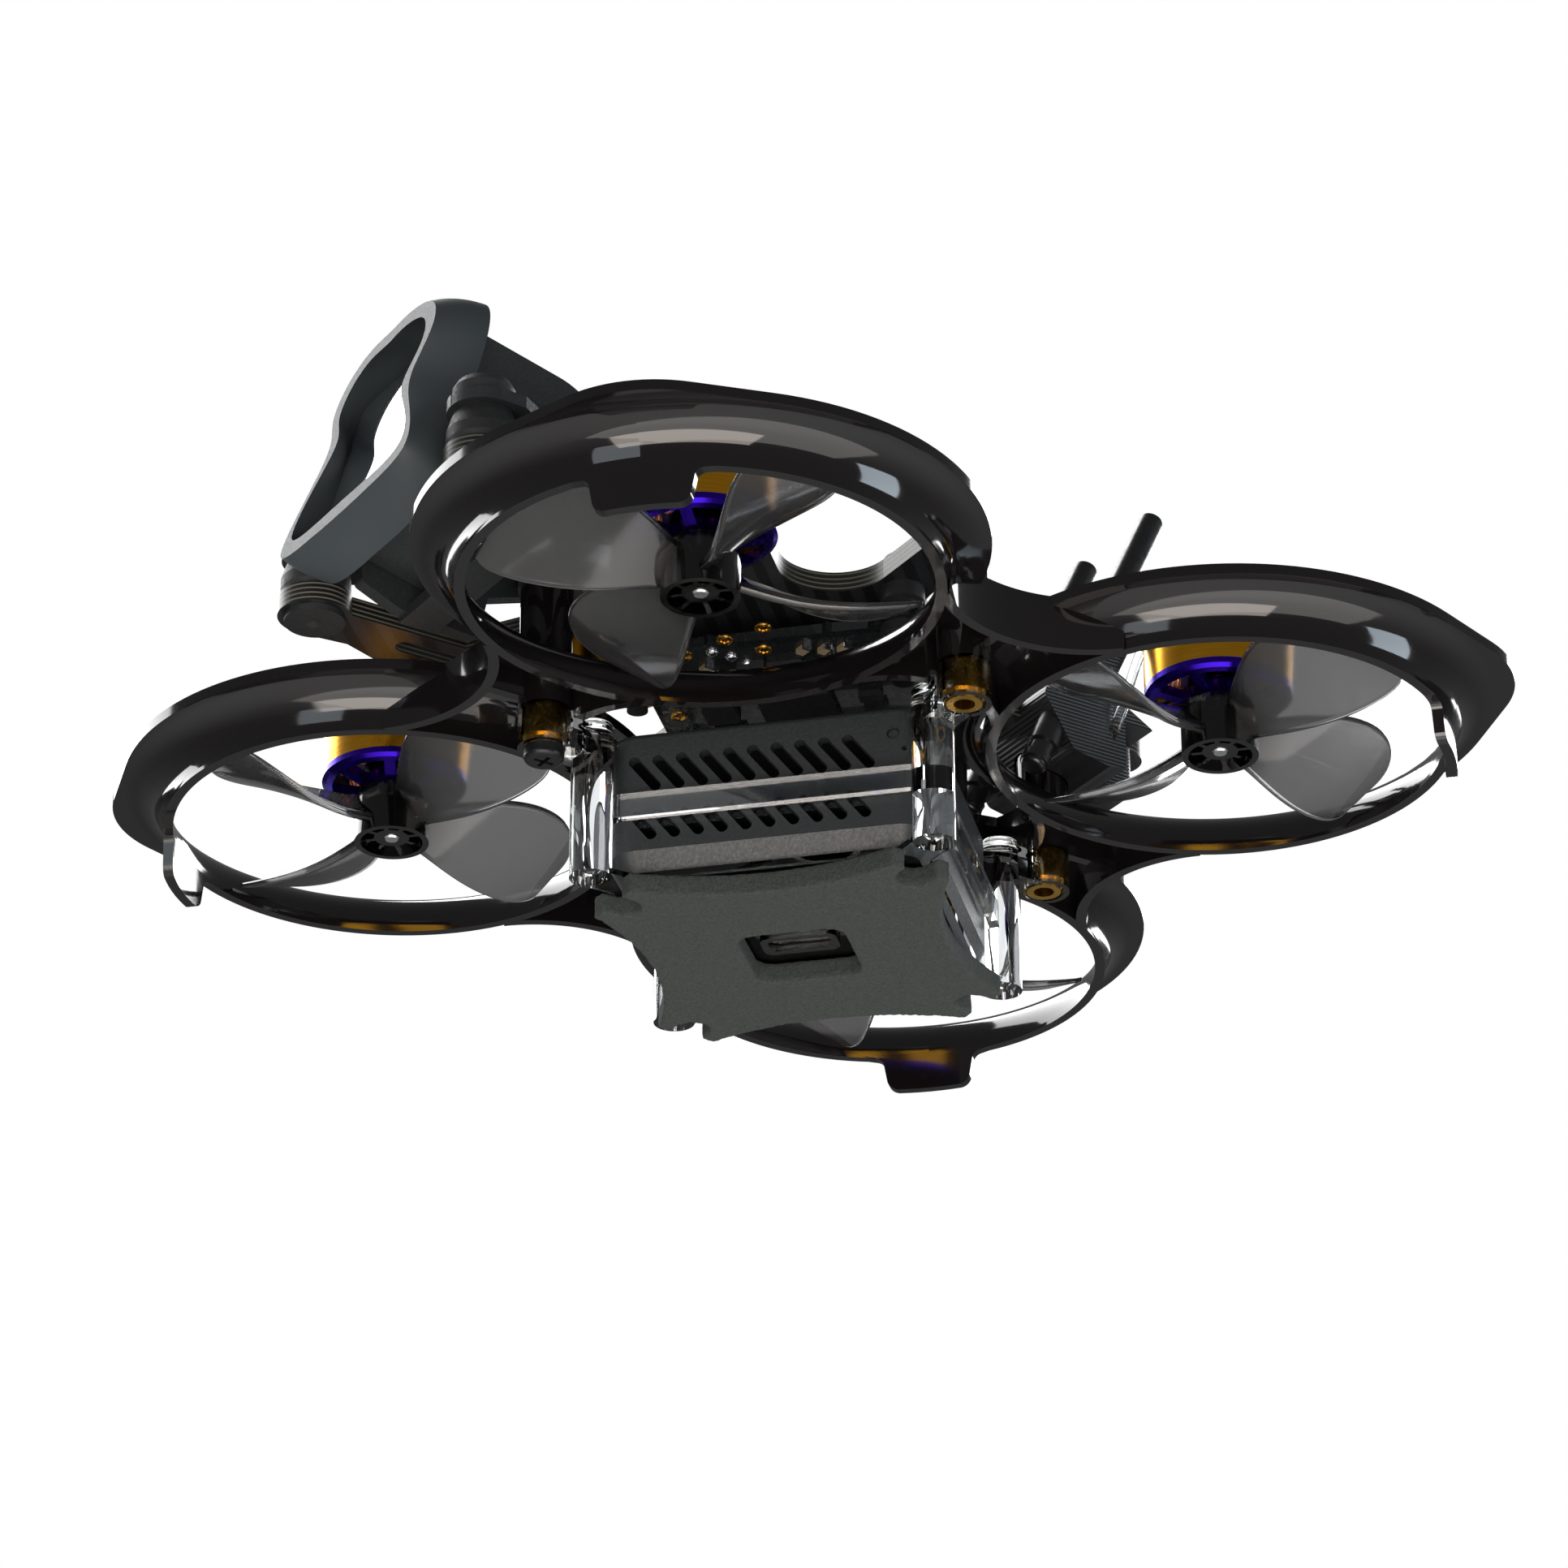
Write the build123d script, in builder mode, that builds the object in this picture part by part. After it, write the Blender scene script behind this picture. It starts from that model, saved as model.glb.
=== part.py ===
from build123d import *
import os
from math import atan2, cos, degrees, hypot, radians, sin

# A ducted FPV racing quadcopter: four ducted pusher rotors hung from a carbon plate, a clear
# bracket that carries the video transmitter and a foam landing pad, a damped camera at the
# front and a printed antenna holder at the rear. Millimetres, +Z up, the nose faces -Y. The
# origin is the centre of the motor square, on the underside of the landing pad.

os.makedirs("parts", exist_ok=True)

# ---- driving dimensions ----
MOTOR_PITCH = 57.0          # side of the square of the four motor axes
HALF = MOTOR_PITCH / 2
RIM_Z = 17.25               # lower rims of the ducts
RING_R = 20.95              # inner radius of a duct
WALL = 1.0                  # wall of the moulded duct frame
FLARE_R = 4.9               # inner radius of the bell mouth's quarter circle
FLARE_START = 0.4           # straight height under the bell mouth
LIP_R = 26.0                # outer radius of the lip
CORNER_APEX = 29.3          # where the lip's two tangents would meet
CORNER_ROUND = 11.8
FOOT_DEPTH = 3.6
FOOT_WIDTH = 8.8

POST_R = 28.0               # distance of the four frame posts from the centre
POST_OD = 5.0
PLATE_Z = RIM_Z + 13.6      # underside of the carbon plate
PLATE_T = 2.0
PLATE_TOP = PLATE_Z + PLATE_T
EAR_Z = RIM_Z - 3.1         # underside of the bracket's ears
EAR_TOP = RIM_Z + 0.9

PAD_T = 2.25
FLOOR_T = 0.6
UNIT_SIDE = 30.5            # video unit, square
UNIT_H = 14.45
UNIT_Z = PAD_T + FLOOR_T
UNIT_TOP = UNIT_Z + UNIT_H
COLUMN_R = 22.8             # distance of the bracket's columns from the centre
COLUMN_OD = 4.0

BOARD_Z = RIM_Z + 9.4       # underside of the flight controller
BOARD_T = 1.0
BOARD_SIDE = 33.0
BOARD_HOLES = 18.03         # distance of its four holes from the centre

BELL_R = 6.9
SHAFT_R = 0.75
TOWER_R = 2.8               # bearing tower of a motor
BEARING_R = 2.0
TEETH = 9
MAGNETS = 12

EAR_X = 16.0                # front damper positions
EAR_Y = -44.1
REAR_DAMPER_X = 8.5
REAR_DAMPER_Y = -18.5
NECK_Z = PLATE_TOP + 3.9    # groove of the dampers, which carries the cradle
NECK_H = 1.2

CAMERA_TILT = 14.0          # upward tilt of the camera at rest, degrees
PIVOT_Y = -34.5
PIVOT_Z = RIM_Z + 23.3
CAMERA_HALF = 9.8

ANTENNA_X = 5.75
ANTENNA_FOOT = (22.9, RIM_Z + 6.6)
ANTENNA_TOP = (38.3, RIM_Z + 38.8)

CORNERS = {
    "front_left": (1, -1),
    "front_right": (-1, -1),
    "rear_left": (1, 1),
    "rear_right": (-1, 1),
}
QUARTERS = {"left": 0, "rear": 90, "right": 180, "front": 270}


def save(piece, label):
    """Label one finished sub-part and write its STEP file."""
    piece.part.label = label
    export_step(piece.part, f"parts/{label}.step")


def level(z):
    """A horizontal sketch plane at height z."""
    return Plane.XY.offset(z)


def turned(z, angle):
    """A horizontal plane at height z whose local X points along the angle."""
    return Plane(origin=(0, 0, z), x_dir=(cos(radians(angle)), sin(radians(angle)), 0), z_dir=(0, 0, 1))


def polar(radius, angle):
    """A point of a plane from its radius and its angle in degrees."""
    return (radius * cos(radians(angle)), radius * sin(radians(angle)))


def corner_plane(sx, sy, z):
    """A horizontal plane on a motor axis whose local X points diagonally outwards."""
    return Plane(origin=(sx * HALF, sy * HALF, z), x_dir=(sx, sy, 0), z_dir=(0, 0, 1))


def radial_plane(sx, sy, z):
    """A vertical plane through a motor axis: local X outwards, local Y up."""
    return Plane(origin=(sx * HALF, sy * HALF, z), x_dir=(sx, sy, 0), z_dir=(sy, -sx, 0))


def motor_axis(sx, sy):
    return Axis((sx * HALF, sy * HALF, 0), (0, 0, 1))


def rod(radius, x, y, low, high):
    """An upright round bar, from one height to another."""
    return Pos(x, y, (low + high) / 2) * Cylinder(radius, high - low, mode=Mode.PRIVATE)


# ---- ducts: a thin ring, a quarter-circle bell mouth, a flat lip and a foot tab ----
FLARE_Z = FLARE_START + FLARE_R
FLARE_CENTRE = RING_R + FLARE_R
TOUCH_ANGLE = degrees(atan2((CORNER_APEX**2 - LIP_R**2) ** 0.5, LIP_R))
ENVELOPE_TOP = FLARE_Z + 3


def duct_envelope(sx, sy):
    """Everything inside a duct's outer surface, which its neighbours are cut back from."""
    with BuildSketch(radial_plane(sx, sy, RIM_Z)) as section:
        with BuildLine():
            Polyline((0, -1), (RING_R + WALL, -1), (RING_R + WALL, FLARE_START))
            CenterArc((FLARE_CENTRE, FLARE_START), FLARE_R - WALL, 90, 90)
            Polyline(
                (FLARE_CENTRE, FLARE_Z - WALL),
                (LIP_R, FLARE_Z - WALL),
                (LIP_R, ENVELOPE_TOP),
                (0, ENVELOPE_TOP),
                (0, -1),
            )
        make_face()
    return revolve(section.sketch, axis=motor_axis(sx, sy), mode=Mode.PRIVATE)


for place, (sx, sy) in CORNERS.items():
    with BuildPart() as foot:
        with BuildSketch(corner_plane(sx, sy, RIM_Z - FOOT_DEPTH)):
            Circle(RING_R + WALL)
            Circle(RING_R, mode=Mode.SUBTRACT)
        extrude(amount=FOOT_DEPTH + FLARE_START / 2)
        outward = Vector(sx, sy, 0).normalized()
        with BuildSketch(Plane(origin=(sx * HALF, sy * HALF, RIM_Z), x_dir=(-sy, sx, 0), z_dir=outward)):
            with BuildLine():
                FilletPolyline(
                    (-FOOT_WIDTH / 2 - 2.4, FLARE_START),
                    (-FOOT_WIDTH / 2 - 2.0, 0.0),
                    (-FOOT_WIDTH / 2 - 0.4, -0.2),
                    (-FOOT_WIDTH / 2 + 0.2, -FOOT_DEPTH),
                    (FOOT_WIDTH / 2 - 0.2, -FOOT_DEPTH),
                    (FOOT_WIDTH / 2 + 0.4, -0.2),
                    (FOOT_WIDTH / 2 + 2.0, 0.0),
                    (FOOT_WIDTH / 2 + 2.4, FLARE_START),
                    radius=[0.1, 0.9, 1.2, 1.2, 0.9, 0.1],
                )
                Line((FOOT_WIDTH / 2 + 2.4, FLARE_START), (-FOOT_WIDTH / 2 - 2.4, FLARE_START))
            make_face()
        extrude(amount=RING_R + 3, mode=Mode.INTERSECT)
    with BuildPart() as duct:
        with BuildSketch(radial_plane(sx, sy, RIM_Z)):
            with BuildLine():
                Line((RING_R, 0), (RING_R, FLARE_START))
                CenterArc((FLARE_CENTRE, FLARE_START), FLARE_R, 90, 90)
                Polyline(
                    (FLARE_CENTRE, FLARE_Z),
                    (LIP_R, FLARE_Z),
                    (LIP_R, FLARE_Z - WALL),
                    (FLARE_CENTRE, FLARE_Z - WALL),
                )
                CenterArc((FLARE_CENTRE, FLARE_START), FLARE_R - WALL, 90, 90)
                Polyline((RING_R + WALL, FLARE_START), (RING_R + WALL, 0), (RING_R, 0))
            make_face()
        revolve(axis=motor_axis(sx, sy))
        with BuildSketch(corner_plane(sx, sy, RIM_Z + FLARE_Z - WALL)):
            touch = polar(LIP_R, TOUCH_ANGLE)
            with BuildLine():
                FilletPolyline(touch, (CORNER_APEX, 0), (touch[0], -touch[1]), radius=CORNER_ROUND)
                Polyline((touch[0], -touch[1]), (0, 0), touch)
            make_face()
            Circle(FLARE_CENTRE, mode=Mode.SUBTRACT)
        extrude(amount=WALL)
        add(foot.part)
    save(duct, f"duct_{place}")


# ---- bridges: the moulded webs between two ducts, with a round post boss ----
OUTER_ARC_R = 13.4
OUTER_ARC_Y = 49.4
INNER_ARC_R = 9.29
INNER_ARC_Y = 15.71
OUTER_END = 9.5             # half widths at which the walls meet the rings, blunt
INNER_END = 7.7
SCREW_CLEAR = 1.1           # holes the frame screws pass through
THREAD_R = 1.0              # M2 frame screws and their inserts

for place, angle in QUARTERS.items():
    spin = angle - 90
    neighbours = [duct_envelope(sx, sy) for sx, sy in CORNERS.values()]
    with BuildPart() as bridge:
        with BuildSketch(turned(RIM_Z, spin)):
            with Locations((0, OUTER_ARC_Y)):
                Circle(OUTER_ARC_R + WALL)
                Circle(OUTER_ARC_R, mode=Mode.SUBTRACT)
            with Locations((0, OUTER_ARC_Y - OUTER_ARC_R)):
                Rectangle(2 * OUTER_END, 10, mode=Mode.INTERSECT)
        extrude(amount=FLARE_Z)
        with BuildSketch(turned(RIM_Z, spin)):
            with Locations((0, INNER_ARC_Y)):
                Circle(INNER_ARC_R + WALL)
                Circle(INNER_ARC_R, mode=Mode.SUBTRACT)
            with Locations((0, INNER_ARC_Y + INNER_ARC_R)):
                Rectangle(2 * INNER_END, 9, mode=Mode.INTERSECT)
        extrude(amount=FLARE_Z)
        with BuildSketch(turned(RIM_Z + 1.5, spin)):
            with Locations((0, (OUTER_ARC_Y - OUTER_ARC_R + INNER_ARC_Y + INNER_ARC_R) / 2)):
                Rectangle(WALL, OUTER_ARC_Y - OUTER_ARC_R - INNER_ARC_Y - INNER_ARC_R)
        extrude(amount=FLARE_Z - 1.5)
        with BuildSketch(turned(RIM_Z + FLARE_Z - WALL, spin)):
            with Locations((0, POST_R + 3)):
                Rectangle(19, 26)
            with Locations((0, OUTER_ARC_Y)):
                Circle(OUTER_ARC_R, mode=Mode.SUBTRACT)
            with Locations((0, INNER_ARC_Y)):
                Circle(INNER_ARC_R, mode=Mode.SUBTRACT)
        extrude(amount=WALL)
        for solid in neighbours:
            add(solid, mode=Mode.SUBTRACT)
        post = polar(POST_R, angle)
        add(rod(POST_OD / 2, *post, EAR_TOP, PLATE_Z))
        add(rod(POST_OD / 2 + 1, *post, RIM_Z - 1, EAR_TOP), mode=Mode.SUBTRACT)
        add(rod(SCREW_CLEAR, *post, RIM_Z - 1, PLATE_Z + 1), mode=Mode.SUBTRACT)
    save(bridge, f"bridge_{place}")


# ---- main plate: carbon, diagonal arms to the motors, lugs on the posts, two front ears ----
ARM_W = 4.5
LUG_W = 5.5
POCKET_R = 5.4
REAR_REACH = 39.6
EAR_R = 3.55
EAR_INNER_X = 13.8
EAR_SLOT_X = 16.6
MOTOR_PAD_R = 6.4
MOTOR_BOLT_R = 4.5
DAMPERS = [
    (EAR_X, EAR_Y),
    (-EAR_X, EAR_Y),
    (REAR_DAMPER_X, REAR_DAMPER_Y),
    (-REAR_DAMPER_X, REAR_DAMPER_Y),
]

with BuildPart() as plate:
    with BuildSketch(level(PLATE_Z)):
        for arm_angle in (45, 135):
            Rectangle(2 * HALF * 2**0.5, ARM_W, rotation=arm_angle)
        Rectangle(2 * POST_R, LUG_W)
        Rectangle(LUG_W, 2 * POST_R)
        with Locations((0, REAR_REACH / 2)):
            Rectangle(LUG_W, REAR_REACH - LUG_W)
        with Locations((POST_R, 0), (-POST_R, 0), (0, -POST_R), (0, REAR_REACH - LUG_W / 2)):
            Circle(LUG_W / 2)
    outline = extrude(amount=PLATE_T)
    upright = outline.edges().filter_by(Axis.Z)
    pockets = [edge for edge in upright if hypot(edge.center().X, edge.center().Y) < 10]
    fillet(pockets, POCKET_R)
    with BuildSketch(level(PLATE_Z)):
        with Locations([(sx * HALF, sy * HALF) for sx, sy in CORNERS.values()]):
            Circle(MOTOR_PAD_R)
        for side in (1, -1):
            with BuildLine():
                Polyline(
                    (side * EAR_INNER_X, EAR_Y + 2.5),
                    (side * EAR_INNER_X, -29),
                    (side * 4.5, -23.5),
                    (side * 2, -18),
                    (side * 14, -14),
                    (side * 27, -24),
                    (side * 22.6, -30.5),
                    (side * 20.7, -34.2),
                    (side * 19.0, -39),
                    (side * (EAR_X + EAR_R), EAR_Y),
                    (side * EAR_X, EAR_Y),
                    (side * EAR_INNER_X, EAR_Y + 2.5),
                )
            make_face()
        with Locations((EAR_X, EAR_Y), (-EAR_X, EAR_Y)):
            Circle(EAR_R)
        with Locations((EAR_SLOT_X, -28.5), (-EAR_SLOT_X, -28.5)):
            SlotOverall(13, 2, rotation=90, mode=Mode.SUBTRACT)
    extrude(amount=PLATE_T)
    posts = [polar(POST_R, angle) for angle in QUARTERS.values()]
    stack = [polar(BOARD_HOLES, angle) for angle in QUARTERS.values()]
    with BuildSketch(level(PLATE_Z)):
        with Locations(posts + stack):
            Circle(SCREW_CLEAR)
        with Locations((0, 35)):
            Circle(0.8)
        with Locations(DAMPERS):
            Circle(1.5)
        for sx, sy in CORNERS.values():
            with Locations((sx * HALF, sy * HALF)):
                Circle(BEARING_R)
                with PolarLocations(MOTOR_BOLT_R, 4):
                    Circle(0.85)
    extrude(amount=PLATE_T, mode=Mode.SUBTRACT)
save(plate, "main_plate")


# ---- motors: base with a bearing tower, laminated stator, copper coils, bell and magnets ----
BASE_Z = PLATE_Z - 1.4
TOWER_Z = RIM_Z + 6.9
STATOR_Z = RIM_Z + 7.6
STATOR_H = 2.6
BELL_Z = RIM_Z + 6.2
BELL_TOP = RIM_Z + 11.0
BEARING_H = 2.0
CENTRES = [(sx * HALF, sy * HALF) for sx, sy in CORNERS.values()]

with BuildPart() as bases:
    with BuildSketch(level(BASE_Z)):
        with Locations(CENTRES):
            Circle(5.6)
    extrude(amount=PLATE_Z - BASE_Z)
    with BuildSketch(level(TOWER_Z)):
        with Locations(CENTRES):
            Circle(TOWER_R)
    extrude(amount=BASE_Z - TOWER_Z)
    with BuildSketch(level(TOWER_Z)):
        with Locations(CENTRES):
            Circle(BEARING_R)
            with PolarLocations(MOTOR_BOLT_R, 4):
                Circle(0.8)
    extrude(amount=PLATE_Z - TOWER_Z, mode=Mode.SUBTRACT)
save(bases, "motor_bases")

with BuildPart() as stators:
    with BuildSketch(level(STATOR_Z)):
        with Locations(CENTRES):
            Circle(5.4)
            Circle(5.0, mode=Mode.SUBTRACT)
            with PolarLocations(5.2, TEETH, start_angle=180 / TEETH):
                Rectangle(1.2, 0.9, mode=Mode.SUBTRACT)
            Circle(3.6)
            with PolarLocations(4.3, TEETH):
                Rectangle(1.8, 0.7)
            Circle(TOWER_R, mode=Mode.SUBTRACT)
    extrude(amount=STATOR_H)
save(stators, "stator_cores")

with BuildPart() as coils:
    with BuildSketch(level(STATOR_Z - 0.5)):
        for centre in CENTRES:
            with Locations(centre):
                with PolarLocations(4.3, TEETH):
                    Rectangle(1.1, 1.7)
    extrude(amount=STATOR_H + 1.0)
    fillet(coils.edges().filter_by(Axis.Z), 0.25)
    with BuildSketch(level(STATOR_Z)):
        for centre in CENTRES:
            with Locations(centre):
                with PolarLocations(4.3, TEETH):
                    Rectangle(1.8, 0.7)
    extrude(amount=STATOR_H, mode=Mode.SUBTRACT)
save(coils, "motor_windings")

with BuildPart() as bearings:
    for low in (TOWER_Z, BASE_Z - BEARING_H):
        with BuildSketch(level(low)):
            with Locations(CENTRES):
                Circle(BEARING_R)
                Circle(SHAFT_R + 0.03, mode=Mode.SUBTRACT)
        extrude(amount=BEARING_H)
save(bearings, "motor_bearings")

with BuildPart() as motor_screws:
    for centre in CENTRES:
        with BuildSketch(level(PLATE_Z - 1.2)):
            with Locations(centre):
                with PolarLocations(MOTOR_BOLT_R, 4):
                    Circle(0.8)
        extrude(amount=1.2 + PLATE_T)
        with BuildSketch(level(PLATE_TOP)):
            with Locations(centre):
                with PolarLocations(MOTOR_BOLT_R, 4):
                    Circle(1.4)
        extrude(amount=1.0)
        with BuildSketch(level(PLATE_TOP + 0.5)):
            with Locations(centre):
                with PolarLocations(MOTOR_BOLT_R, 4):
                    RegularPolygon(0.75, 6)
        extrude(amount=0.5, mode=Mode.SUBTRACT)
save(motor_screws, "motor_screws")

HUB_R = 3.6
HUB_Z = RIM_Z - 0.7
HUB_TOP = RIM_Z + 4.3
HUB_WALL = 0.6
# blade stations: radius, chord, sweep of the chord's middle, pitch in degrees, thickness
BLADE = [
    (3.0, 4.4, 0.0, 50, 1.1),
    (7.5, 8.2, 0.9, 36, 0.95),
    (12.5, 11.4, 1.2, 27, 0.8),
    (16.5, 11.4, 0.4, 21, 0.65),
    (19.0, 8.6, -1.0, 18, 0.5),
    (19.9, 4.6, -2.2, 17, 0.4),
]
BLADE_Z = RIM_Z + 2.0
BLADE_ANGLES = {"front_left": -7, "front_right": 5, "rear_left": 6, "rear_right": -7}



def blade_solid(hand):
    """One twisted, swept paddle blade along local X, for a rotor of either hand."""
    sections = []
    for radius, chord, sweep, pitch, thickness in BLADE:
        lean = hand * radians(pitch)
        place = Plane(origin=(radius, hand * sweep, 0), x_dir=(0, cos(lean), sin(lean)), z_dir=(1, 0, 0))
        sections.append(place * SlotOverall(chord, thickness))
    return loft(sections=sections)


blades = {hand: blade_solid(hand) for hand in (1, -1)}

for place, (sx, sy) in CORNERS.items():
    hand = -sx * sy

    with BuildPart() as bell_ring:
        with BuildSketch(corner_plane(sx, sy, BELL_Z)):
            Circle(BELL_R)
            Circle(BELL_R - 0.55, mode=Mode.SUBTRACT)
        extrude(amount=BELL_TOP - BELL_Z)
    save(bell_ring, f"bell_ring_{place}")

    with BuildPart() as magnets:
        with BuildSketch(corner_plane(sx, sy, STATOR_Z - 0.4)):
            Circle(BELL_R - 0.55)
            Circle(5.6, mode=Mode.SUBTRACT)
            with PolarLocations(6, MAGNETS):
                Rectangle(1.6, 0.5, mode=Mode.SUBTRACT)
        extrude(amount=STATOR_H + 0.8)
    save(magnets, f"magnets_{place}")

    with BuildPart() as bell_cap:
        with BuildSketch(radial_plane(sx, sy, RIM_Z)):
            Polygon(
                (SHAFT_R, 4.5),
                (3.2, 4.5),
                (BELL_R - 0.4, 5.3),
                (BELL_R, 5.6),
                (BELL_R, 6.2),
                (6.0, 6.2),
                (3.2, 5.5),
                (2.6, 6.4),
                (SHAFT_R, 6.4),
                align=None,
            )
        revolve(axis=motor_axis(sx, sy))
        with BuildSketch(corner_plane(sx, sy, RIM_Z + 4)):
            Circle(5.9)
            Circle(2.9, mode=Mode.SUBTRACT)
            with PolarLocations(4.4, 7):
                Rectangle(3.6, 1.1, mode=Mode.SUBTRACT)
        extrude(amount=3, mode=Mode.SUBTRACT)
    save(bell_cap, f"bell_cap_{place}")

    with BuildPart() as shaft:
        with BuildSketch(corner_plane(sx, sy, RIM_Z - 0.4)):
            Circle(SHAFT_R)
        extrude(amount=PLATE_Z - RIM_Z)
        chamfer(shaft.edges().sort_by(Axis.Z)[0], 0.15)
    save(shaft, f"shaft_{place}")

    with BuildPart() as propeller:
        for quarter in range(4):
            turn = BLADE_ANGLES[place] + 90 * quarter
            add(Pos(sx * HALF, sy * HALF, BLADE_Z) * Rot(0, 0, turn) * blades[hand])
        with BuildSketch(corner_plane(sx, sy, HUB_Z)):
            Circle(HUB_R)
        extrude(amount=HUB_TOP - HUB_Z)
        with BuildSketch(corner_plane(sx, sy, HUB_Z)):
            Circle(HUB_R - HUB_WALL)
        extrude(amount=HUB_TOP - HUB_Z - 1.4, mode=Mode.SUBTRACT)
        with BuildSketch(corner_plane(sx, sy, HUB_Z + 0.5)):
            Circle(1.7)
            with PolarLocations(2.4, 8):
                Rectangle(1.5, 0.45)
        extrude(amount=HUB_TOP - HUB_Z - 1.4)
        with BuildSketch(corner_plane(sx, sy, HUB_Z - 1)):
            Circle(SHAFT_R)
        extrude(amount=HUB_TOP - HUB_Z + 2, mode=Mode.SUBTRACT)
    save(propeller, f"propeller_{place}")


# ---- clear bracket: four columns, ears under the frame posts, a strap and a thin floor ----
STRAP_Z = RIM_Z - 9.2
STRAP_H = 2.4
STRAP_IN = 15.45
STRAP_T = 1.0
INSERT_R = 2.0
BOSS_L = 7.3
BOSS_W = 3.5

with BuildPart() as bracket:
    with BuildSketch(turned(STRAP_Z, 45)):
        RectangleRounded(2 * (STRAP_IN + STRAP_T), 2 * (STRAP_IN + STRAP_T), 3)
        RectangleRounded(2 * STRAP_IN, 2 * STRAP_IN, 2, mode=Mode.SUBTRACT)
    extrude(amount=STRAP_H)
    with BuildSketch(level(PAD_T)):
        for angle in QUARTERS.values():
            with Locations(polar(COLUMN_R, angle)):
                Circle(COLUMN_OD / 2)
    extrude(amount=EAR_TOP - PAD_T)
    fillet(bracket.edges().group_by(Axis.Z)[-1], 0.6)
    with BuildSketch(level(EAR_Z)):
        for angle in QUARTERS.values():
            with Locations(polar(POST_R, angle)):
                Circle(POST_OD / 2)
    extrude(amount=EAR_TOP - EAR_Z)
    with BuildSketch(level(EAR_Z)):
        for angle in QUARTERS.values():
            with Locations(polar((POST_R + COLUMN_R) / 2, angle)):
                Rectangle(POST_R - COLUMN_R, 3.4, rotation=angle)
    extrude(amount=EAR_TOP - EAR_Z - 0.8)
    with BuildSketch(turned(PAD_T, 45)):
        RectangleRounded(UNIT_SIDE - 0.6, UNIT_SIDE - 0.6, 3)
    extrude(amount=FLOOR_T)
    with BuildSketch(level(PAD_T)):
        for angle in QUARTERS.values():
            with Locations(polar((18 + COLUMN_R) / 2, angle)):
                Rectangle(COLUMN_R - 18, COLUMN_OD - 0.4, rotation=angle)
    extrude(amount=FLOOR_T)
    with BuildSketch(turned(PAD_T - 0.9, 45)):
        RectangleRounded(BOSS_L, BOSS_W, 0.9)
        RectangleRounded(BOSS_L - 1.4, BOSS_W - 1.4, 0.4, mode=Mode.SUBTRACT)
    extrude(amount=0.9)
    with BuildSketch(level(EAR_Z - 1)):
        for angle in QUARTERS.values():
            with Locations(polar(POST_R, angle)):
                Circle(INSERT_R)
    extrude(amount=EAR_TOP - EAR_Z + 2, mode=Mode.SUBTRACT)
save(bracket, "video_bracket")

POST_TIP = RIM_Z - 1.0      # lower ends of the frame screws

with BuildPart() as inserts:
    for angle in QUARTERS.values():
        where = polar(POST_R, angle)
        with BuildSketch(level(EAR_Z)):
            with Locations(where):
                Circle(INSERT_R - 0.35)
        extrude(amount=0.8)
        with BuildSketch(level(EAR_Z + 0.8)):
            with Locations(where):
                Circle(INSERT_R)
        extrude(amount=EAR_TOP - EAR_Z - 0.8)
    with BuildSketch(level(EAR_Z)):
        for angle in QUARTERS.values():
            with Locations(polar(POST_R, angle)):
                Circle(THREAD_R)
    extrude(amount=EAR_TOP - EAR_Z, mode=Mode.SUBTRACT)
save(inserts, "post_inserts")

HEAD_R = 1.9
HEAD_H = 1.3

with BuildPart() as post_screws:
    with BuildSketch(level(POST_TIP)):
        with Locations(posts):
            Circle(THREAD_R)
    extrude(amount=PLATE_TOP - POST_TIP)
    with BuildSketch(level(PLATE_TOP)):
        with Locations(posts):
            Circle(HEAD_R)
    extrude(amount=HEAD_H)
    fillet(post_screws.edges().group_by(Axis.Z)[-1], 0.4)
    with BuildSketch(level(PLATE_TOP + HEAD_H / 2)):
        with Locations(posts):
            RegularPolygon(0.8, 6)
    extrude(amount=HEAD_H / 2, mode=Mode.SUBTRACT)
save(post_screws, "post_screws")

with BuildPart() as lower_screw:
    with BuildSketch(level(EAR_Z - HEAD_H)):
        with Locations((0, -POST_R)):
            Circle(HEAD_R)
    extrude(amount=HEAD_H)
    fillet(lower_screw.edges().group_by(Axis.Z)[0], 0.5)
    with BuildSketch(level(EAR_Z - HEAD_H)):
        with Locations((0, -POST_R)):
            Circle(THREAD_R)
    extrude(amount=HEAD_H + 1.8)
    with BuildSketch(level(EAR_Z - HEAD_H)):
        with Locations((0, -POST_R)):
            Rectangle(2.0, 0.4)
            Rectangle(0.4, 2.0)
    extrude(amount=0.7, mode=Mode.SUBTRACT)
save(lower_screw, "lower_screw")


# ---- foam landing pad ----
LOBE_R = 20.6
LOBE_HALF = 3.2
PAD_WAIST = 10.0

with BuildPart() as pad:
    with BuildSketch(level(0)):
        with BuildLine():
            for sx, sy in ((1, 1), (-1, 1), (-1, -1), (1, -1)):
                ThreePointArc(
                    (sx * LOBE_R, sy * LOBE_HALF),
                    (sx * PAD_WAIST, sy * PAD_WAIST),
                    (sx * LOBE_HALF, sy * LOBE_R),
                )
            for side in (1, -1):
                Line((side * LOBE_R, -LOBE_HALF), (side * LOBE_R, LOBE_HALF))
                Line((-LOBE_HALF, side * LOBE_R), (LOBE_HALF, side * LOBE_R))
        make_face()
        for angle in QUARTERS.values():
            with Locations(polar(LOBE_R + 0.8, angle)):
                SlotOverall(7.4, 3.2, rotation=angle, mode=Mode.SUBTRACT)
        RectangleRounded(10.0, 10.0, 1.6, rotation=45, mode=Mode.SUBTRACT)
    extrude(amount=PAD_T)
save(pad, "foam_pad")


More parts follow.
